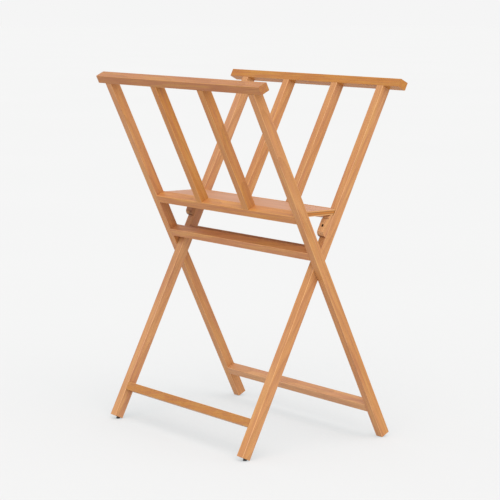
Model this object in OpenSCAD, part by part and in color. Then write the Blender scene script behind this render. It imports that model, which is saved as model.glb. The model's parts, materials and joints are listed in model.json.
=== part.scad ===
// Folding print rack: two slatted beech frames crossing in an X, with a lift-up shelf.
// Millimetres. +Z is up, X runs along the rails, and -Y is the side of the outer frame's top rail.
// The origin is on the floor, midway between the feet.

/* [Frames] */
// Tilt of each frame from upright, in degrees
tilt = 26.4; // [25:0.2:28]
// Width over the outer frame's legs
frame_w = 630; // [560:5:700]
// Length of a leg above the crossing, up to the underside of its rail
leg_up = 511; // [490:1:540]
// Length of a leg below the crossing
leg_down = 513.5; // [500:0.5:540]
// Sideways gap between an outer leg and an inner leg
side_gap = 1.5; // [1:0.1:3]

/* [Stock] */
// Width of a leg, along X
leg_w = 24; // [22:0.5:26]
// Width of a slat, along X
slat_w = 23; // [18:0.5:26]
// Depth of all the stock, square to the frame
stock_d = 27; // [26.5:0.5:28]
// Height of a rail, crossbar or stretcher
bar_h = 22; // [20:0.5:24]
// Radius of the long edges
edge_r = 1.5; // [0.5:0.1:3]

/* [Rails and slats] */
// Length of both top rails
rail_l = 690; // [640:5:760]
// Distance of each slat's middle from the middle of the frame
slat_x = 99; // [85:1:110]
// Height of the shelf crossbar's underside above the crossing, along the leg
shelf_bar_z = 142; // [140:1:148]
// Distance of the foot stretcher's underside below the crossing, along the leg
stretcher_z = 436; // [400:1:460]

/* [Shelf] */
// Thickness of the shelf board
shelf_t = 13.5; // [12:0.5:14]
// How far the shelf's top lies below the shelf crossbar's upper back corner
shelf_drop = 1.5; // [1:0.1:2]
// Gap between the shelf's back edge and the inner frame
shelf_gap = 3; // [2.8:0.1:4]
// How far a rest block stands out of its leg
block_d = 14.5; // [13.5:0.5:16]
// Distance of a rest block's lower end above the crossing, along the leg
block_z = 83; // [78:0.5:84]
// Radius of a rest block's lower front corner
block_r = 13; // [8:0.5:13]
// Radius of a rest block's crowned top
block_top_r = 10; // [9.5:0.5:14]

/* [Feet] */
// Radius of a foot glide
glide_r = 5; // [4:0.5:5]
// Greatest height of a foot glide, square to the leg's end
glide_h = 6; // [5.5:0.5:7]
// How far a glide's middle is from the leg's middle, towards the lowest edge of its end
glide_y = 7.5; // [5:0.5:7.5]
// Height of a leg's lowest edge above the floor
foot_gap = 0.8; // [0.5:0.1:1.5]

/* [Joinery] */
// Radius of a joining dowel
dowel_r = 4; // [3:0.5:4]
// Length of a dowel in a side joint
dowel_l = 30; // [24:1:34]
// Length of a dowel in a rail or slat joint
end_dowel_l = 26; // [20:1:30]
// Radius of a rest peg
peg_r = 2.5; // [2:0.1:3]

/* [Frame hinges] */
// Length of one frame hinge
hinge_l = 60; // [50:1:70]
// Distance of each frame hinge from the middle of the frame
hinge_x = 180; // [150:5:200]
// Height of a frame hinge leaf
hinge_leaf_h = 14.5; // [13:0.5:15]
// Distance from the hinge pin's axis to the face of each crossbar
hinge_e = 3.5; // [3.4:0.1:4]

/* [Hidden] */
$fn = 48;

beech = "#cf9359";
dowel_wood = "#dcae78";
ply = "#d3a182";
black_plastic = "#1c1b1a";
steel = "#9a958c";
dark_steel = "#5b5650";

fit_gap = 0.05;       // radial clearance of a dowel, a screw or a pin in its hole
end_gap = 0.5;        // clearance at the bottom of a blind hole
half_d = stock_d / 2;
far = 2000;           // larger than the whole rack

// Places across the rack
outer_leg_x = frame_w / 2 - leg_w / 2;
outer_in = frame_w / 2 - leg_w;
inner_leg_x = outer_in - side_gap - leg_w / 2;
inner_in = inner_leg_x - leg_w / 2;

// Height of the crossing above the floor
cross_z = leg_down * cos(tilt) + half_d * sin(tilt) + foot_gap;

// The frame hinge's axis lies where the planes hinge_e off the frames' facing sides meet
hinge_z = (half_d + hinge_e) / tan(tilt);
lower_bar_z = hinge_z + 0.25;
hinge_leaf_t = 1.4;
hinge_barrel_r = hinge_e - 0.4;
hinge_pin_r = 1.5;
hinge_notch_z = 4;    // where a leaf starts beside the other leaf's knuckle
hinge_knuckles = 5;
hinge_screw_z = 9.5;
hinge_screw_l = 14;
hinge_screw_pitch = hinge_l / 3;

// Shelf
shelf_bar_top = shelf_bar_z + bar_h;
shelf_top = cross_z + shelf_bar_top * cos(tilt) + half_d * sin(tilt) - shelf_drop;
shelf_bottom = shelf_top - shelf_t;
shelf_half_l = inner_leg_x + leg_w / 2 - 0.5;
shelf_hinge_l = 30;
shelf_hinge_gap = 0.8;   // between the crossbar's face and the shelf's front edge
shelf_leaf_y = half_d - 0.8;  // the floor of a leaf's pocket in the crossbar
shelf_leaf_t = 1.1;
shelf_leaf_h = 12;
shelf_barrel_r = 2.1;
shelf_pin_r = 1;
shelf_hinge_z = shelf_bar_top + 2.4;
shelf_hinge_y = half_d + shelf_hinge_gap / 2;
// Each shelf hinge is in the bay just left of a slat
shelf_hinge_xs = [for (s = [-1, 1]) s * slat_x - slat_w / 2 - shelf_hinge_l / 2 - 2];
shelf_screw_pitch = shelf_hinge_l * 0.6;
shelf_screw_l = 8;      // short, because the screws rise towards the board's top
shelf_screw_z = shelf_bar_top - 9;

// Rest blocks
rest_gap = 0.3;
block_axis_y = -half_d - block_d / 2;
block_screw_z = block_z + 27;
block_bore_r = 4.1;
block_bore_d = 1.5;
block_screw_r = 2;
block_screw_l = 36;
block_screw_head_r = 3.8;
block_screw_head_h = 3;
peg_above = 5.5;
peg_below = 20;
peg_hole_r = peg_r + 1;

// Joint places
dowel_y = 6.5;
outer_slats_x = [-slat_x, slat_x];
bar_heights = [shelf_bar_z, lower_bar_z, -stretcher_z];
bar_middles = [for (z = bar_heights) z + bar_h / 2];

nail_r = 1.2;
nail_head_r = 2;
nail_head_h = 0.8;
nail_l = 16;
nail_neck = 0.8;      // plastic between the leg's end and the nail's head

// ---------- Placing ----------

// Frame coordinates: Z runs up along the legs from the crossing
module outer_frame() {
  translate([0, 0, cross_z]) rotate([tilt, 0, 0]) children();
}

module inner_frame() {
  translate([0, 0, cross_z]) rotate([-tilt, 0, 0]) children();
}

module both_sides(x) {
  for (s = [-1, 1]) translate([s * x, 0, 0]) children();
}

// ---------- Stock ----------

module rounded_section(w, d) {
  square([w - 2 * edge_r, d], center = true);
  square([w, d - 2 * edge_r], center = true);
  for (sx = [-1, 1], sy = [-1, 1])
    translate([sx * (w / 2 - edge_r), sy * (d / 2 - edge_r)]) circle(r = edge_r);
}

// Upright stock from z0 to z1
module post(w, z0, z1) {
  translate([0, 0, z0]) linear_extrude(height = z1 - z0) rounded_section(w, stock_d);
}

// Level stock across the frame, its underside at z
module crosspiece(half_l, z) {
  translate([-half_l, 0, z + bar_h / 2]) rotate([90, 0, 90])
    linear_extrude(height = 2 * half_l) rounded_section(stock_d, bar_h);
}

// ---------- Dowels and their holes ----------

// Two rods side by side, along X, centred on x
module side_rods(x, z, r, l) {
  for (y = [-dowel_y, dowel_y])
    translate([x - l / 2, y, z]) rotate([0, 90, 0]) cylinder(r = r, h = l);
}

// Two rods side by side, along Z, centred on z
module end_rods(x, z, r, l) {
  for (y = [-dowel_y, dowel_y]) translate([x, y, z - l / 2]) cylinder(r = r, h = l);
}

module side_joints(half_l, z, r, l) {
  for (s = [-1, 1]) side_rods(s * half_l, z, r, l);
}

module end_joints(xs, z, r, l) {
  for (x = xs) end_rods(x, z, r, l);
}

module side_holes(half_l, z) {
  side_joints(half_l, z, dowel_r + fit_gap, dowel_l + 2 * end_gap);
}

module end_holes(xs, z) {
  end_joints(xs, z, dowel_r + fit_gap, end_dowel_l + 2 * end_gap);
}

module frame_dowels(half_l, leg_x) {
  color(dowel_wood) {
    for (z = bar_middles) side_joints(half_l, z, dowel_r, dowel_l);
    end_joints([-leg_x, leg_x, -slat_x, slat_x], leg_up, dowel_r, end_dowel_l);
    end_joints(outer_slats_x, shelf_bar_top, dowel_r, end_dowel_l);
  }
}

// ---------- Frame pieces, in frame coordinates ----------

module top_rail(leg_x) {
  color(beech) difference() {
    crosspiece(rail_l / 2, leg_up);
    end_holes([-leg_x, leg_x, -slat_x, slat_x], leg_up);
  }
}

// half_l is where the crossbars end; nail_y is where the glide's nail goes in
module leg(leg_x, side, half_l, nail_y) {
  color(beech) difference() {
    translate([side * leg_x, 0, 0]) post(leg_w, -leg_down, leg_up);
    for (z = bar_middles) side_holes(half_l, z);
    end_holes([side * leg_x], leg_up);
    translate([side * leg_x, nail_y, -leg_down - 1]) cylinder(r = nail_r + fit_gap, h = nail_l + 1);
    children();
  }
}

module slat(x) {
  color(beech) difference() {
    translate([x, 0, 0]) post(slat_w, shelf_bar_top, leg_up);
    end_holes([x], leg_up);
    end_holes([x], shelf_bar_top);
  }
}

module shelf_crossbar(half_l) {
  color(beech) difference() {
    crosspiece(half_l, shelf_bar_z);
    side_holes(half_l, bar_middles[0]);
    end_holes(outer_slats_x, shelf_bar_top);
    children();
  }
}

module lower_crossbar(half_l) {
  color(beech) difference() {
    crosspiece(half_l, lower_bar_z);
    side_holes(half_l, bar_middles[1]);
    children();
  }
}

module foot_stretcher(half_l) {
  color(beech) difference() {
    crosspiece(half_l, -stretcher_z);
    side_holes(half_l, bar_middles[2]);
  }
}

// ---------- Feet ----------

// A plastic disc moulded over the head of its nail; z = 0 is the leg's end
module glide_pad() {
  difference() {
    translate([0, 0, -glide_h]) cylinder(r = glide_r, h = glide_h);
    translate([0, 0, -nail_neck - nail_head_h - fit_gap])
      cylinder(r = nail_head_r + fit_gap, h = nail_head_h + 2 * fit_gap);
    translate([0, 0, -nail_neck - nail_head_h]) cylinder(r = nail_r + fit_gap, h = nail_l);
  }
}

module glide_nail() {
  translate([0, 0, -nail_neck - nail_head_h]) cylinder(r = nail_head_r, h = nail_head_h);
  translate([0, 0, -nail_neck - nail_head_h]) cylinder(r = nail_r, h = nail_l);
}

// A pad under each leg, cut level with the floor; s is 1 for the outer frame and -1 for the inner
module frame_glides(leg_x, s) {
  color(black_plastic) difference() {
    translate([0, 0, cross_z]) rotate([s * tilt, 0, 0])
      both_sides(leg_x) translate([0, -s * glide_y, -leg_down]) glide_pad();
    translate([-far / 2, -far / 2, -far]) cube([far, far, far]);
  }
}

module frame_glide_nails(leg_x, nail_y) {
  color(steel) both_sides(leg_x) translate([0, nail_y, -leg_down]) glide_nail();
}

// ---------- Countersunk screws ----------

// A screw along +Z into the material, its head flush at z = 0; grow widens it into its own hole
module screw(r, l, head_r, head_h, grow = 0) {
  if (grow > 0) {
    cylinder(r1 = head_r + grow, r2 = r + grow, h = head_h);
    cylinder(r = r + grow, h = l + end_gap);
  } else {
    difference() {
      cylinder(r1 = head_r, r2 = r, h = head_h);
      for (a = [0, 90]) rotate([0, 0, a]) cube([1.2 * head_r, 0.25 * head_r, head_h], center = true);
    }
    translate([0, 0, head_h]) cylinder(r = r, h = l - head_h - 2 * r);
    translate([0, 0, l - 2 * r]) cylinder(r1 = r, r2 = r / 4, h = 2 * r);
  }
}

// ---------- Butt hinges ----------

// One leaf of a hinge. The leaf lies on the plane y = 0 and its outer face is at y = leaf_t.
// The pin's axis is at height 0 and y = e. first is 0 for the odd knuckles and 1 for the even ones.
module hinge_leaf(len, leaf_t, leaf_z0, leaf_z1, notch_z, e, barrel_r, bore_r, knuckles, first) {
  pitch = len / knuckles;
  gap = 0.3;
  difference() {
    union() {
      translate([-len / 2, 0, min(leaf_z0, leaf_z1)]) cube([len, leaf_t, abs(leaf_z1 - leaf_z0)]);
      for (k = [first:2:knuckles - 1])
        translate([-len / 2 + k * pitch + gap / 2, e, 0]) rotate([0, 90, 0])
          cylinder(r = barrel_r, h = pitch - gap);
    }
    for (k = [1 - first:2:knuckles - 1])
      translate([-len / 2 + k * pitch - gap / 2, -1, -abs(notch_z)])
        cube([pitch + gap, leaf_t + 2, 2 * abs(notch_z)]);
    translate([-len / 2 - 1, e, 0]) rotate([0, 90, 0]) cylinder(r = bore_r, h = len + 2);
  }
}

module hinge_pin(len, r, head_r) {
  translate([-len / 2, 0, 0]) rotate([0, 90, 0]) cylinder(r = r, h = len);
  for (s = [-1, 1])
    translate([s * (len / 2 + 0.5) - 0.5, 0, 0]) rotate([0, 90, 0]) cylinder(r = head_r, h = 1);
}

// ---------- Frame hinges, in outer frame coordinates ----------

module frame_hinge_screws(grow = 0) {
  both_sides(hinge_x) for (k = [-1, 0, 1])
    translate([k * hinge_screw_pitch, half_d + hinge_leaf_t, hinge_z + hinge_screw_z])
      rotate([90, 0, 0]) screw(hinge_pin_r, hinge_screw_l, 2.9, hinge_leaf_t, grow);
}

module frame_hinge_leaves(first) {
  color(steel) difference() {
    both_sides(hinge_x) translate([0, half_d, hinge_z])
      hinge_leaf(hinge_l, hinge_leaf_t, 0, hinge_leaf_h, hinge_notch_z, hinge_e,
                 hinge_barrel_r, hinge_pin_r + fit_gap, hinge_knuckles, first);
    frame_hinge_screws(fit_gap);
  }
}

module frame_hinge_pins() {
  color(steel) both_sides(hinge_x) translate([0, half_d + hinge_e, hinge_z])
    hinge_pin(hinge_l, hinge_pin_r, 2.2);
}

// ---------- Shelf hinges, in outer frame coordinates ----------

module at_shelf_hinges() {
  for (x = shelf_hinge_xs) translate([x, 0, 0]) children();
}

module shelf_hinge_screws(grow = 0) {
  at_shelf_hinges() for (k = [-1, 1])
    translate([k * shelf_screw_pitch / 2, shelf_leaf_y + shelf_leaf_t, shelf_screw_z])
      rotate([90, 0, 0]) screw(1.1, shelf_screw_l, 2, shelf_leaf_t, grow);
}

module shelf_hinge_leaves(first) {
  color(dark_steel) difference() {
    at_shelf_hinges() translate([0, shelf_leaf_y, shelf_hinge_z])
      hinge_leaf(shelf_hinge_l, shelf_leaf_t, -1.2, -shelf_leaf_h - 2.4, 2.6,
                 shelf_hinge_y - shelf_leaf_y, shelf_barrel_r, shelf_pin_r + fit_gap, 3, first);
    shelf_hinge_screws(fit_gap);
  }
}

// Shallow pockets that the crossbar's leaves are let into, with their screw holes
module shelf_hinge_pockets() {
  at_shelf_hinges() translate([-shelf_hinge_l / 2 - 0.1, shelf_leaf_y, shelf_bar_top - shelf_leaf_h - 0.1])
    cube([shelf_hinge_l + 0.2, 1, 2 * shelf_leaf_h]);
  shelf_hinge_screws(fit_gap);
}

// The board's own leaves and screws mirror the crossbar's about the middle of the gap
module across_shelf_gap() {
  translate([0, 2 * shelf_hinge_y, 0]) mirror([0, 1, 0]) children();
}

module shelf_hinge_pins() {
  color(dark_steel) at_shelf_hinges() translate([0, shelf_hinge_y, shelf_hinge_z])
    hinge_pin(shelf_hinge_l, shelf_pin_r, 1.6);
}

// ---------- Shelf board, in rack coordinates ----------

// Y of the shelf's front edge at height z, parallel to the outer frame's back side
function shelf_front(z) = (half_d + shelf_hinge_gap - (z - cross_z) * sin(tilt)) / cos(tilt);

// Y of the shelf's back edge at height z, parallel to the inner frame's upper side
function shelf_back(z) = ((z - cross_z) * sin(tilt) - half_d - shelf_gap) / cos(tilt);

module shelf_board() {
  color(ply) difference() {
    translate([-shelf_half_l, 0, 0]) rotate([90, 0, 90]) linear_extrude(height = 2 * shelf_half_l)
      polygon([
        [shelf_front(shelf_bottom), shelf_bottom], [shelf_back(shelf_bottom), shelf_bottom],
        [shelf_back(shelf_top), shelf_top], [shelf_front(shelf_top), shelf_top]
      ]);
    outer_frame() across_shelf_gap() shelf_hinge_pockets();
    inner_frame() both_sides(inner_leg_x) translate([0, block_axis_y, peg_z(0) - 10])
      cylinder(r = peg_hole_r, h = peg_above + 12);
  }
}

// ---------- Rest blocks and pegs ----------

// Height along the leg of the shelf's underside, at the block's middle, plus a rise
function peg_z(rise) = (shelf_bottom - rest_gap - cross_z + block_axis_y * sin(tilt)) / cos(tilt) + rise;

// A block's outline from the side: X outwards from the leg, Y up the leg
module block_outline() {
  intersection() {
    translate([0, block_z]) square([block_d, shelf_bar_top - block_z]);
    union() {
      translate([block_d - block_r, block_z + block_r]) circle(r = block_r);
      translate([0, block_z]) square([block_d - block_r, far]);
      translate([0, block_z + block_r]) square([block_d, far]);
    }
  }
}

// In inner frame coordinates, as if its leg stood at x = 0
module block_screw(grow = 0) {
  translate([0, -half_d - block_d + block_bore_d, block_screw_z]) rotate([-90, 0, 0])
    screw(block_screw_r, block_screw_l, block_screw_head_r, block_screw_head_h, grow);
}

// Everything under a crown that just misses the shelf, in rack coordinates
module under_crown() {
  crown_z = shelf_bottom - rest_gap - block_top_r;
  crown_y = shelf_back(crown_z + block_top_r) - (block_d / 2 - shelf_gap) / cos(tilt);
  translate([-far / 2, crown_y, crown_z]) rotate([0, 90, 0]) cylinder(r = block_top_r, h = far);
  translate([-far / 2, -far / 2, crown_z - far]) cube([far, far, far]);
}

// A block on the left (-1) or the right (1) inner leg, in rack coordinates
module rest_block(side) {
  color(beech) intersection() {
    inner_frame() translate([side * inner_leg_x, 0, 0]) difference() {
      translate([-leg_w / 2, -half_d, 0]) mirror([0, 1, 0]) rotate([90, 0, 90])
        linear_extrude(height = leg_w) block_outline();
      block_screw(fit_gap);
      translate([0, -half_d - block_d - 1, block_screw_z]) rotate([-90, 0, 0])
        cylinder(r = block_bore_r, h = block_bore_d + 1);
      translate([0, block_axis_y, peg_z(-peg_below) - end_gap]) cylinder(r = peg_r + fit_gap, h = far);
    }
    under_crown();
  }
}

// ---------- The nodes ----------

module outer_top_rail() { outer_frame() top_rail(outer_leg_x); }

// side is -1 for the left leg and 1 for the right
module outer_leg(side) {
  outer_frame() leg(outer_leg_x, side, outer_in, -glide_y);
}

module outer_shelf_crossbar() {
  outer_frame() shelf_crossbar(outer_in) shelf_hinge_pockets();
}

module outer_lower_crossbar() {
  outer_frame() lower_crossbar(outer_in) frame_hinge_screws(fit_gap);
}

module outer_foot_stretcher() { outer_frame() foot_stretcher(outer_in); }

module outer_dowels() { outer_frame() frame_dowels(outer_in, outer_leg_x); }

module outer_glides() { frame_glides(outer_leg_x, 1); }

module outer_glide_nails() { outer_frame() frame_glide_nails(outer_leg_x, -glide_y); }

module inner_top_rail() { inner_frame() top_rail(inner_leg_x); }

module inner_leg(side) {
  inner_frame() leg(inner_leg_x, side, inner_in, glide_y)
    translate([side * inner_leg_x, 0, 0]) block_screw(fit_gap);
}

module inner_shelf_crossbar() { inner_frame() shelf_crossbar(inner_in); }

module inner_lower_crossbar() {
  inner_frame() lower_crossbar(inner_in) mirror([0, 1, 0]) frame_hinge_screws(fit_gap);
}

module inner_foot_stretcher() { inner_frame() foot_stretcher(inner_in); }

module inner_dowels() { inner_frame() frame_dowels(inner_in, inner_leg_x); }

module inner_glides() { frame_glides(inner_leg_x, -1); }

module inner_glide_nails() { inner_frame() frame_glide_nails(inner_leg_x, glide_y); }

module frame_hinge_outer_leaves() { outer_frame() frame_hinge_leaves(0); }

module frame_hinge_inner_leaves() { inner_frame() mirror([0, 1, 0]) frame_hinge_leaves(1); }

module frame_hinge_outer_screws() { outer_frame() color(steel) frame_hinge_screws(); }

module frame_hinge_inner_screws() {
  inner_frame() color(steel) mirror([0, 1, 0]) frame_hinge_screws();
}

module rest_block_screws() {
  inner_frame() color(dark_steel) both_sides(inner_leg_x) block_screw();
}

module rest_pegs() {
  inner_frame() color(steel) both_sides(inner_leg_x)
    translate([0, block_axis_y, peg_z(-peg_below)]) cylinder(r = peg_r, h = peg_below + peg_above);
}

module shelf_hinge_board_leaves() {
  outer_frame() across_shelf_gap() shelf_hinge_leaves(1);
}

module shelf_hinge_board_screws() {
  outer_frame() color(dark_steel) across_shelf_gap() shelf_hinge_screws();
}

outer_top_rail();
outer_leg(-1);  // outer_leg_left
outer_leg(1);  // outer_leg_right
outer_frame() slat(-slat_x);  // outer_slat_left
outer_frame() slat(slat_x);  // outer_slat_right
outer_shelf_crossbar();
outer_lower_crossbar();
outer_foot_stretcher();
outer_dowels();
outer_glides();
outer_glide_nails();
inner_top_rail();
inner_leg(-1);  // inner_leg_left
inner_leg(1);  // inner_leg_right
inner_frame() slat(-slat_x);  // inner_slat_left
inner_frame() slat(slat_x);  // inner_slat_right
inner_shelf_crossbar();
inner_lower_crossbar();
inner_foot_stretcher();
inner_dowels();
inner_glides();
inner_glide_nails();
frame_hinge_outer_leaves();
frame_hinge_inner_leaves();
outer_frame() frame_hinge_pins();
frame_hinge_outer_screws();
frame_hinge_inner_screws();
rest_block(-1);  // rest_block_left
rest_block(1);  // rest_block_right
rest_block_screws();
rest_pegs();
shelf_board();
outer_frame() shelf_hinge_leaves(0);  // shelf_hinge_crossbar_leaves
shelf_hinge_board_leaves();
outer_frame() shelf_hinge_pins();
outer_frame() color(dark_steel) shelf_hinge_screws();  // shelf_hinge_crossbar_screws
shelf_hinge_board_screws();
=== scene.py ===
"""Looks for the folding print rack: oiled beech, plywood, plated steel and black plastic."""
import json
import math

import bpy
from mathutils import Euler, Matrix, Vector


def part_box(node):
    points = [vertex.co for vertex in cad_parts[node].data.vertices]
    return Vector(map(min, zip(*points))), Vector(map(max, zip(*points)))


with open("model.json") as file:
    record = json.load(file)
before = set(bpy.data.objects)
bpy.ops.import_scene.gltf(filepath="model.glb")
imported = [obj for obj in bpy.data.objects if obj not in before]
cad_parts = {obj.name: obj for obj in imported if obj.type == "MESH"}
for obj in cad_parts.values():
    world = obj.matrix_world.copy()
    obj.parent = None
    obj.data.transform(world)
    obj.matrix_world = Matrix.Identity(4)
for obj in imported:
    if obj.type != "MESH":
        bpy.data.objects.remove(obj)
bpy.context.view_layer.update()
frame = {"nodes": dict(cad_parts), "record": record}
record = frame["record"]

# ---------------------------------------------------------------- the rack's own directions


def frame_tilt(node):
    """The lean from upright of the frame whose nodes' names start with node, outer or inner.

    Its slats and stretcher are of one depth, which drops out here.
    """
    lo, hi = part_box(f"{node}_slat_left")
    thick_lo, thick_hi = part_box(f"{node}_foot_stretcher")
    run = (hi.y - lo.y) - (thick_hi.y - thick_lo.y)
    rise = (hi.z - lo.z) - (thick_hi.z - thick_lo.z)
    sign = -1 if node == "inner" else 1
    return sign * math.atan2(run, rise)


def middle(node):
    lo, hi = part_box(node)
    return (lo + hi) / 2


# ---------------------------------------------------------------- node helpers


class Tree:
    """A few short calls for building a shader tree."""

    def __init__(self, tree):
        self.tree = tree

    def node(self, kind, **settings):
        made = self.tree.nodes.new(kind)
        for name, value in settings.items():
            setattr(made, name, value)
        return made

    def put(self, socket, value):
        if isinstance(value, bpy.types.NodeSocket):
            self.tree.links.new(value, socket)
        elif value is not None:
            socket.default_value = value

    def math(self, op, a, b=None, c=None):
        made = self.node("ShaderNodeMath", operation=op)
        for k, v in enumerate((a, b, c)):
            self.put(made.inputs[k], v)
        return made.outputs[0]

    def scaled(self, vector, scale):
        made = self.node("ShaderNodeVectorMath", operation="MULTIPLY")
        self.put(made.inputs[0], vector)
        made.inputs[1].default_value = scale
        return made.outputs[0]

    def noise(self, vector, scale=1.0, detail=2.0, rough=0.5):
        made = self.node("ShaderNodeTexNoise")
        self.put(made.inputs["Vector"], vector)
        made.inputs["Scale"].default_value = scale
        made.inputs["Detail"].default_value = detail
        made.inputs["Roughness"].default_value = rough
        return made.outputs[0]

    def ramp(self, value, low, high):
        """0 at low and 1 at high, with a smooth step between."""
        made = self.node("ShaderNodeMapRange", interpolation_type="SMOOTHSTEP")
        self.put(made.inputs["Value"], value)
        made.inputs["From Min"].default_value = low
        made.inputs["From Max"].default_value = high
        return made.outputs[0]

    def mix(self, factor, a, b):
        made = self.node("ShaderNodeMix", data_type="RGBA")
        self.put(made.inputs[0], factor)
        self.put(made.inputs[6], a)
        self.put(made.inputs[7], b)
        return made.outputs[2]

    def split(self, vector):
        made = self.node("ShaderNodeSeparateXYZ")
        self.put(made.inputs[0], vector)
        return made.outputs

    def weighted(self, *parts):
        """The sum of each value times its weight, and no more than 1."""
        total = 0.0
        for value, weight in parts:
            total = self.math("MULTIPLY_ADD", value, weight, total)
        return self.math("MINIMUM", total, 1.0)


VECTOR, FLOAT, COLOR = "NodeSocketVector", "NodeSocketFloat", "NodeSocketColor"


def group(name, inputs, outputs):
    """A node group and its own inputs and outputs; inputs and outputs are (name, kind) pairs."""
    tree = bpy.data.node_groups.new(name, "ShaderNodeTree")
    for socket, kind in inputs:
        tree.interface.new_socket(socket, in_out="INPUT", socket_type=kind)
    for socket, kind in outputs:
        tree.interface.new_socket(socket, in_out="OUTPUT", socket_type=kind)
    t = Tree(tree)
    return t, t.node("NodeGroupInput").outputs, t.node("NodeGroupOutput").inputs


def rgb(r, g, b):
    """A linear colour."""
    return (r, g, b, 1.0)


# ---------------------------------------------------------------- wood

RING = 0.0046  # width of one year's growth
PITH = (0.047, 0.031)  # where the log's centre lies beside a bar, across the grain
ORANGE, PINK = rgb(0.550, 0.228, 0.052), rgb(0.440, 0.165, 0.068)
GOLD, PALE = rgb(0.585, 0.290, 0.074), rgb(0.635, 0.325, 0.120)
DARK, END_GRAIN_AND_SHADE = rgb(0.250, 0.090, 0.028), rgb(0.20, 0.075, 0.030)
WORN_AND_HIGHLIGHT, FRONT_PAINTED_LIGHT = rgb(0.760, 0.420, 0.170), rgb(0.900, 0.520, 0.220)


def edge_mask(t, normal):
    """0 on flat faces and 1 on the rounded arrises, from a normal in the piece's own directions."""
    x, y, z = t.split(normal)
    flat = t.math("MAXIMUM", t.math("ABSOLUTE", x), t.math("ABSOLUTE", y))
    flat = t.math("MAXIMUM", flat, t.math("ABSOLUTE", z))
    return t.ramp(flat, 0.998, 0.80)


def growth_rings(t, p):
    """Saw-toothed rings round the pith; p is in metres with Z along the grain."""
    warp = t.math("MULTIPLY_ADD", t.noise(t.scaled(p, (9, 9, 1.5)), detail=2), 0.013, -0.0065)
    x, y, z = t.split(p)
    far_x = t.math("ADD", t.math("MULTIPLY_ADD", z, 0.022, x), PITH[0])
    far_y = t.math("ADD", t.math("MULTIPLY_ADD", z, -0.015, y), PITH[1])
    r = t.math("SQRT", t.math("ADD", t.math("POWER", far_x, 2), t.math("POWER", far_y, 2)))
    phase = t.math("FRACT", t.math("DIVIDE", t.math("ADD", r, warp), RING))
    return t.math("POWER", phase, 2.2)


def ray_flecks(t, p):
    """Short dark lens shapes along the grain, as beech shows on every face."""
    cells = t.node("ShaderNodeTexVoronoi", feature="F1")
    t.put(cells.inputs["Vector"], t.scaled(p, (900, 700, 240)))
    cells.inputs["Scale"].default_value = 1.0
    size = t.split(cells.outputs["Color"])[0]
    reach = t.math("MULTIPLY_ADD", size, 0.32, 0.08)
    return t.math("LESS_THAN", cells.outputs["Distance"], reach)


def ground_colour(t, p, pinkish):
    """Broad streaks of orange, pink, gold and pale wood, before the dark marks."""
    bands = t.ramp(t.noise(t.scaled(p, (170, 170, 4.5)), detail=3, rough=0.6), 0.40, 0.60)
    honey = t.ramp(t.noise(t.scaled(p, (120, 120, 6.5)), detail=2, rough=0.5), 0.46, 0.66)
    slow = t.ramp(t.noise(t.scaled(p, (6, 6, 3.2)), detail=2), 0.3, 0.7)
    colour = t.mix(t.weighted((bands, 0.62), (pinkish, 0.45)), ORANGE, PINK)
    colour = t.mix(t.math("MULTIPLY", honey, 0.55), colour, GOLD)
    return t.mix(t.math("MULTIPLY", slow, 0.30), colour, PALE)


def handled(t, p, normal, end_grain, end_grain_and_shade, rubbed_and_front_light, colour):
    """End grain darkened, partly real and partly painted shade; a front face lightened as painted light;
    arrises pale in places, partly real wear and partly painted highlight. Gives that arris mask as well.
    """
    # End faces darkened toward a dark colour: partly real end grain, partly painted shade on downward faces
    # and under the shelf
    colour = t.mix(t.math("MULTIPLY", end_grain, end_grain_and_shade), colour, END_GRAIN_AND_SHADE)
    # The front face lightened toward a pale colour: painted light where the shelf's shade falls
    front = t.math("MULTIPLY", t.ramp(t.split(normal)[1], -0.60, -0.98), rubbed_and_front_light)
    colour = t.mix(front, colour, FRONT_PAINTED_LIGHT)
    # Pale arrises broken up by noise: partly real wear, partly a painted highlight along the lit edges
    broken = t.ramp(t.noise(t.scaled(p, (60, 60, 22)), detail=3), 0.20, 0.62)
    wear_and_highlight = t.math("MULTIPLY", edge_mask(t, normal), broken)
    return t.mix(t.math("MULTIPLY", wear_and_highlight, 0.70), colour, WORN_AND_HIGHLIGHT), wear_and_highlight


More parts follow.
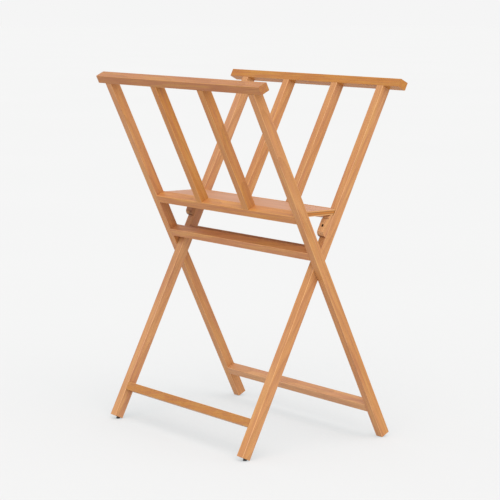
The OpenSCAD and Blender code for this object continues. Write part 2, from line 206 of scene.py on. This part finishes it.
def wood_group():
    """Oiled beech. Grain runs along Z of Vector; Normal is in the same directions."""
    t, given, out = group(
        "oiled_beech",
        [("Vector", VECTOR), ("Normal", VECTOR), ("Pink", FLOAT), ("Light", FLOAT),
         ("Rich", FLOAT), ("End", FLOAT), ("Front_Painted_Light", FLOAT)],
        [("Color", COLOR), ("Roughness", FLOAT), ("Height", FLOAT)],
    )
    p, normal, pinkish, light, rich, end_grain_and_shade, rubbed_and_front_light = [given[k] for k in range(7)]
    rings = growth_rings(t, p)
    fibre = t.noise(t.scaled(p, (800, 800, 16)), detail=3, rough=0.6)
    pores = t.noise(t.scaled(p, (2300, 2300, 90)), detail=2)
    flecks = ray_flecks(t, p)
    end_grain = t.ramp(t.math("ABSOLUTE", t.split(normal)[2]), 0.06, 0.50)

    fibre_lines, pore_dots = t.ramp(fibre, 0.42, 0.70), t.ramp(pores, 0.55, 0.8)
    dark = t.weighted((rings, 0.25), (fibre_lines, 0.30), (pore_dots, 0.12), (flecks, 0.32))
    colour = t.mix(dark, ground_colour(t, p, pinkish), DARK)
    colour, wear_and_highlight = handled(t, p, normal, end_grain, end_grain_and_shade, rubbed_and_front_light, colour)
    shade = t.node("ShaderNodeHueSaturation")
    t.put(shade.inputs["Saturation"], rich)
    t.put(shade.inputs["Value"], light)
    t.put(shade.inputs["Color"], colour)
    t.put(out["Color"], shade.outputs[0])

    rough = t.math("MULTIPLY_ADD", fibre, 0.18, 0.36)
    rough = t.math("MULTIPLY_ADD", end_grain, 0.16, rough)
    t.put(out["Roughness"], t.math("MULTIPLY_ADD", wear_and_highlight, -0.07, rough))
    height = t.math("MULTIPLY_ADD", rings, 0.35, t.math("MULTIPLY", fibre, 0.7))
    t.put(out["Height"], t.math("MULTIPLY_ADD", flecks, -0.45, height))
    return t.tree


def surface(name):
    """A new material, its tree and its shader's inputs."""
    made = bpy.data.materials.new(name)
    made.use_nodes = True
    shader = made.node_tree.nodes["Principled BSDF"]
    return made, Tree(made.node_tree), shader.inputs


def bump(t, height, strength, distance):
    """A normal bent by height; distance is the full depth in metres."""
    made = t.node("ShaderNodeBump")
    made.inputs["Strength"].default_value = strength
    made.inputs["Distance"].default_value = distance
    t.put(made.inputs["Height"], height)
    return made.outputs[0]


def own_space(t, turn, centre, shift, slant):
    """Object coordinates and normal turned into a piece's own directions, with Z near its grain.

    slant is the angle at which the grain runs out of the piece's face.
    """
    source = t.node("ShaderNodeTexCoord").outputs
    grain = Euler((slant, 0.6 * slant, 0)).to_matrix() @ turn.to_matrix()
    place = t.node("ShaderNodeMapping", vector_type="POINT")
    place.inputs["Rotation"].default_value = grain.to_euler()
    place.inputs["Location"].default_value = shift - (grain @ centre)
    t.put(place.inputs["Vector"], source["Object"])
    face = t.node("ShaderNodeMapping", vector_type="VECTOR")
    face.inputs["Rotation"].default_value = turn
    t.put(face.inputs["Vector"], source["Normal"])
    return place.outputs[0], face.outputs[0]


# The board each piece was cut from: how pink, how light, the slope of its grain, how rich in colour;
# the blocks' lightness also holds painted shade on the left one and painted light on the right one
BOARD_TONE_AND_PAINTED_LIGHT = {
    "outer_top_rail": (1.6, 0.94, 0.01, 1.03),
    "inner_top_rail": (0.3, 0.96, 0.01, 1.06),
    "inner_foot_stretcher": (0.2, 0.91, 0.16, 1.03),
    "outer_foot_stretcher": (0.6, 1.12, 0.01, 0.91),
    "outer_lower_crossbar": (2.0, 1.13, 0.02, 1.00),
    "inner_lower_crossbar": (1.6, 0.92, 0.02, 1.00),
    "outer_shelf_crossbar": (0.5, 1.09, 0.01, 1.02),
    "outer_slat_left": (0.35, 1.01, 0.01, 1.03),
    "outer_slat_right": (0.5, 1.02, 0.004, 1.02),
    "inner_slat_right": (0.2, 1.12, 0.01, 0.95),
    "inner_leg_left": (0.5, 1.13, 0.01, 0.93),
    "inner_leg_right": (0.2, 1.13, 0.02, 0.95),
    "outer_leg_left": (0.4, 1.09, 0.01, 0.97),
    "outer_leg_right": (0.35, 1.09, 0.01, 0.97),
    # The left block is made darker as painted shade, and the right one lighter as painted light
    "rest_block_left": (1.4, 0.90, 0.05, 1.00),
    "rest_block_right": (0.4, 1.17, 0.05, 0.93),
}


def board(name, number):
    """A piece's own board; those not in BOARD_TONE_AND_PAINTED_LIGHT differ by a rule."""
    plain = (0.4 + 0.4 * math.sin(1.7 * number), 1.12, 0.015 * math.cos(2.9 * number), 0.97)
    return BOARD_TONE_AND_PAINTED_LIGHT.get(name, plain)


def beech(name, wood, turn, centre, number):
    """Oiled beech for one piece, cut from its own place in the log."""
    made, t, shader = surface(f"beech_{name}")
    place = Vector((0.011 * math.sin(3.1 * number), 0.012 * math.cos(2.3 * number), 0.37 * number))
    pink, light, slant, rich = board(name, number)
    p, normal = own_space(t, turn, centre, place, slant)
    piece = t.node("ShaderNodeGroup", node_tree=wood)
    t.put(piece.inputs["Vector"], p)
    t.put(piece.inputs["Normal"], normal)
    piece.inputs["Pink"].default_value = pink
    piece.inputs["Light"].default_value = light
    piece.inputs["Rich"].default_value = rich
    # The blocks' end faces are darkened, partly as real end grain and partly as painted shade at their tops
    # under the shelf and on their rounded bottoms; the right block's front face is lightened as painted
    # light
    piece.inputs["End"].default_value = 0.95 if "block" in name else 0.0
    piece.inputs["Front_Painted_Light"].default_value = 0.45 if "block_right" in name else 0.0
    t.put(shader["Base Color"], piece.outputs["Color"])
    t.put(shader["Roughness"], piece.outputs["Roughness"])
    t.put(shader["Normal"], bump(t, piece.outputs["Height"], 0.3, 0.00006))
    shader["Coat Weight"].default_value = 0.03
    shader["Coat Roughness"].default_value = 0.32
    shader["IOR"].default_value = 1.36
    return made


# ---------------------------------------------------------------- plywood

LIGHT_LAYER, GLUE, CORE = rgb(0.66, 0.325, 0.112), rgb(0.16, 0.055, 0.014), rgb(0.54, 0.192, 0.028)
LAYERS = (  # depth below the top as a share of the thickness, and the colour there
    (0.0, LIGHT_LAYER), (0.22, LIGHT_LAYER), (0.26, GLUE), (0.32, GLUE), (0.36, CORE), (0.52, CORE),
    (0.55, GLUE), (0.57, CORE), (0.70, CORE), (0.73, GLUE), (0.77, GLUE), (0.81, LIGHT_LAYER),
)


def layered_edge(t, p, top, bottom):
    """The layers and glue lines that an edge shows, from the height of a point of it."""
    depth = t.node("ShaderNodeMapRange")
    t.put(depth.inputs["Value"], t.split(p)[2])
    depth.inputs["From Min"].default_value = top
    depth.inputs["From Max"].default_value = bottom
    layers = t.node("ShaderNodeValToRGB")
    t.put(layers.inputs[0], depth.outputs[0])
    stops = layers.color_ramp.elements
    while len(stops) < len(LAYERS):
        stops.new(0.5)
    for stop, (place, colour) in zip(stops, LAYERS):
        stop.position = place
        stop.color = colour
    return layers.outputs[0]


def plywood(name, node):
    """Pinkish face veneers over a layered core, which shows on every edge; the grain runs along X."""
    lo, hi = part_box(node)
    made, t, shader = surface(name)
    source = t.node("ShaderNodeTexCoord").outputs
    p = source["Object"]
    grain = t.noise(t.scaled(p, (14, 620, 620)), detail=3, rough=0.6)
    figure = t.ramp(t.noise(t.scaled(p, (2.4, 42, 42)), detail=3), 0.35, 0.68)
    veneer = t.mix(figure, rgb(0.490, 0.238, 0.132), rgb(0.555, 0.274, 0.150))
    veneer = t.mix(t.math("MULTIPLY", t.ramp(grain, 0.45, 0.75), 0.35), veneer, rgb(0.36, 0.17, 0.095))
    saw = t.noise(t.scaled(p, (900, 900, 900)), detail=2)
    edge = layered_edge(t, p, hi.z, lo.z)
    edge = t.mix(t.math("MULTIPLY", t.ramp(saw, 0.4, 0.8), 0.3), edge, rgb(0.24, 0.10, 0.04))
    face = t.ramp(t.math("ABSOLUTE", t.split(source["Normal"])[2]), 0.8, 0.95)
    t.put(shader["Base Color"], t.mix(face, edge, veneer))
    t.put(shader["Roughness"], t.math("MULTIPLY_ADD", grain, 0.2, 0.44))
    t.put(shader["Normal"], bump(t, t.math("MULTIPLY_ADD", saw, 0.3, grain), 0.25, 0.00003))
    shader["Coat Weight"].default_value = 0.03
    shader["Coat Roughness"].default_value = 0.4
    shader["IOR"].default_value = 1.40
    return made


# ---------------------------------------------------------------- plastic and metal


def moulded_plastic(name):
    """Black plastic with a fine spark-eroded texture, scuffed grey."""
    made, t, shader = surface(name)
    p = t.node("ShaderNodeTexCoord").outputs["Object"]
    spark = t.noise(t.scaled(p, (2600, 2600, 2600)), detail=2)
    scuff = t.ramp(t.noise(t.scaled(p, (240, 240, 420)), detail=4), 0.45, 0.75)
    colour = t.mix(t.math("MULTIPLY", scuff, 0.5), rgb(0.018, 0.017, 0.016), rgb(0.075, 0.070, 0.066))
    t.put(shader["Base Color"], colour)
    t.put(shader["Roughness"], t.math("MULTIPLY_ADD", scuff, 0.25, 0.42))
    t.put(shader["Normal"], bump(t, t.math("ADD", spark, scuff), 0.35, 0.00012))
    return made


def metal(name, colour, stain, brush, rough, polish):
    """Plated or browned steel with rolling lines along X, dull patches and small stains."""
    made, t, shader = surface(name)
    p = t.node("ShaderNodeTexCoord").outputs["Object"]
    lines = t.noise(t.scaled(p, brush), detail=3)
    patch = t.ramp(t.noise(t.scaled(p, (150, 150, 150)), detail=4), 0.42, 0.72)
    spots = t.ramp(t.noise(t.scaled(p, (900, 900, 900)), detail=3), 0.58, 0.78)
    base = t.mix(t.math("MULTIPLY", patch, 0.55), colour, stain)
    base = t.mix(t.math("MULTIPLY", lines, 0.25), base, polish)
    t.put(shader["Base Color"], t.mix(t.math("MULTIPLY", spots, 0.5), base, stain))
    shader["Metallic"].default_value = 1.0
    t.put(shader["Roughness"], t.math("MULTIPLY_ADD", patch, 0.18, rough))
    t.put(shader["Normal"], bump(t, t.math("ADD", lines, spots), 0.25, 0.0001))
    return made


def bare_dowel(name):
    """Beech without oil."""
    made, t, shader = surface(name)
    p = t.node("ShaderNodeTexCoord").outputs["Object"]
    grain = t.noise(t.scaled(p, (300, 300, 300)), detail=4)
    t.put(shader["Base Color"], t.mix(t.ramp(grain, 0.3, 0.7), rgb(0.70, 0.47, 0.26), rgb(0.55, 0.34, 0.17)))
    t.put(shader["Roughness"], t.math("MULTIPLY_ADD", grain, 0.2, 0.55))
    t.put(shader["Normal"], bump(t, grain, 0.3, 0.0002))
    return made


# ---------------------------------------------------------------- putting the looks on


def dress(node, material):
    """Gives all of a CAD node's slots one material; its mesh is left as it is."""
    for slot in frame["nodes"][node].material_slots:
        slot.material = material


def soften(node, width=0.0005):
    """A small bevel on the sawn ends, shaded smoothly."""
    made = frame["nodes"][node].modifiers.new("soft_edges", "BEVEL")
    made.width = width
    made.segments = 2
    made.limit_method = "ANGLE"
    made.angle_limit = math.radians(50)
    made.use_clamp_overlap = True
    made.harden_normals = False


UPRIGHT = ("leg_left", "leg_right", "slat_left", "slat_right")
ACROSS = ("top_rail", "shelf_crossbar", "lower_crossbar", "foot_stretcher")


def dress_wood():
    """The bars of both frames and the two blocks, with the grain along each piece."""
    wood = wood_group()
    number = 0
    for side in ("outer", "inner"):
        tilt = frame_tilt(side)
        for part in UPRIGHT + ACROSS:
            number += 1
            turn = Euler((-tilt, 0 if part in UPRIGHT else math.radians(-90), 0))
            node = f"{side}_{part}"
            dress(node, beech(node, wood, turn, middle(node), number))
            soften(node)
    tilt = frame_tilt("inner")
    for node in ("rest_block_left", "rest_block_right"):
        number += 1
        dress(node, beech(node, wood, Euler((-tilt, 0, 0)), middle(node), number))
        soften(node, 0.0004)


def dress_rest():
    """The shelf, and the metal, plastic and dowels by the record's material slots."""
    dress("shelf_board", plywood("plywood_board", "shelf_board"))
    soften("shelf_board", 0.0006)
    zinc, haze, bright = rgb(0.62, 0.60, 0.56), rgb(0.36, 0.33, 0.29), rgb(0.78, 0.76, 0.72)
    brown, soot, rubbed_and_front_light = rgb(0.055, 0.045, 0.037), rgb(0.028, 0.023, 0.019), rgb(0.13, 0.11, 0.095)
    plated = metal("zinc_plate", zinc, haze, (60, 900, 900), 0.30, bright)
    leaf = metal("hinge_leaf", zinc, haze, (35, 1400, 1400), 0.34, bright)
    dark = metal("browned_steel", brown, soot, (60, 900, 900), 0.38, rubbed_and_front_light)
    plastic, dowel = moulded_plastic("black_plastic"), bare_dowel("bare_dowel")
    looks = {"hinge_steel": leaf, "zinc_steel": plated, "dark_steel": dark,
             "glide_plastic": plastic, "dowel_beech": dowel}
    for part in record["subparts"]:
        if part["material_slot"] in looks:
            dress(part["node"], looks[part["material_slot"]])


# ---------------------------------------------------------------- studio

FLOOR_REACH = 60  # from the middle to each side of the floor


def studio_floor():
    """A wide pale sweep that glows a little, as a lit table does, so that shadows stay faint.

    The paper is warm and its glow cool: together they are white, and the shade, warmed by the wood, is grey.
    """
    mesh = bpy.data.meshes.new("floor")
    corners = [(x * FLOOR_REACH, y * FLOOR_REACH, 0) for x, y in ((-1, -1), (1, -1), (1, 1), (-1, 1))]
    mesh.from_pydata(corners, [], [(0, 1, 2, 3)])
    floor = bpy.data.objects.new("studio_floor", mesh)
    bpy.context.scene.collection.objects.link(floor)
    made, t, shader = surface("studio_paper")
    p = t.node("ShaderNodeTexCoord").outputs["Object"]
    tone = t.noise(p, scale=0.6, detail=1)
    t.put(shader["Base Color"], t.mix(tone, rgb(0.420, 0.346, 0.318), rgb(0.430, 0.356, 0.328)))
    shader["Roughness"].default_value = 0.95
    shader["Specular IOR Level"].default_value = 0.0
    shader["Emission Color"].default_value = rgb(0.768, 1, 1.082)
    shader["Emission Strength"].default_value = 0.44
    mesh.materials.append(made)


def soft_sun(name, toward, spread, strength):
    """A far, very large lamp; toward points from the object to the lamp."""
    data = bpy.data.lights.new(name, "SUN")
    data.angle = math.radians(spread)
    data.energy = strength
    lamp = bpy.data.objects.new(name, data)
    lamp.location = Vector(toward) * 5
    lamp.rotation_euler = Vector(toward).to_track_quat("Z", "Y").to_euler()
    bpy.context.scene.collection.objects.link(lamp)


def studio_light():
    """An even white surround and one large soft lamp from the right and above."""
    world = bpy.data.worlds.new("studio")
    world.use_nodes = True
    back = world.node_tree.nodes["Background"].inputs
    back["Color"].default_value = rgb(0.913, 0.913, 0.913)
    back["Strength"].default_value = 1.0
    bpy.context.scene.world = world
    soft_sun("key", (0.515, -0.288, 0.806), 75, 1.75)
    bpy.context.scene.view_settings.view_transform = "Standard"


def camera():
    """A long lens on the rack's near right corner, looking a little down."""
    data = bpy.data.cameras.new("camera")
    data.lens = 124.3
    data.sensor_width = 36
    down, round_z, roll = math.radians(8.18), math.radians(50.70), math.radians(0.67)
    aim = Euler((math.pi / 2 - down, 0, round_z)).to_matrix().to_4x4()
    made = bpy.data.objects.new("camera", data)
    place = Matrix.Translation((3.5452, -2.8889, 1.1407))
    made.matrix_world = place @ aim @ Matrix.Rotation(roll, 4, "Z")
    bpy.context.scene.collection.objects.link(made)
    bpy.context.scene.camera = made


camera()
dress_wood()
dress_rest()
studio_floor()
studio_light()
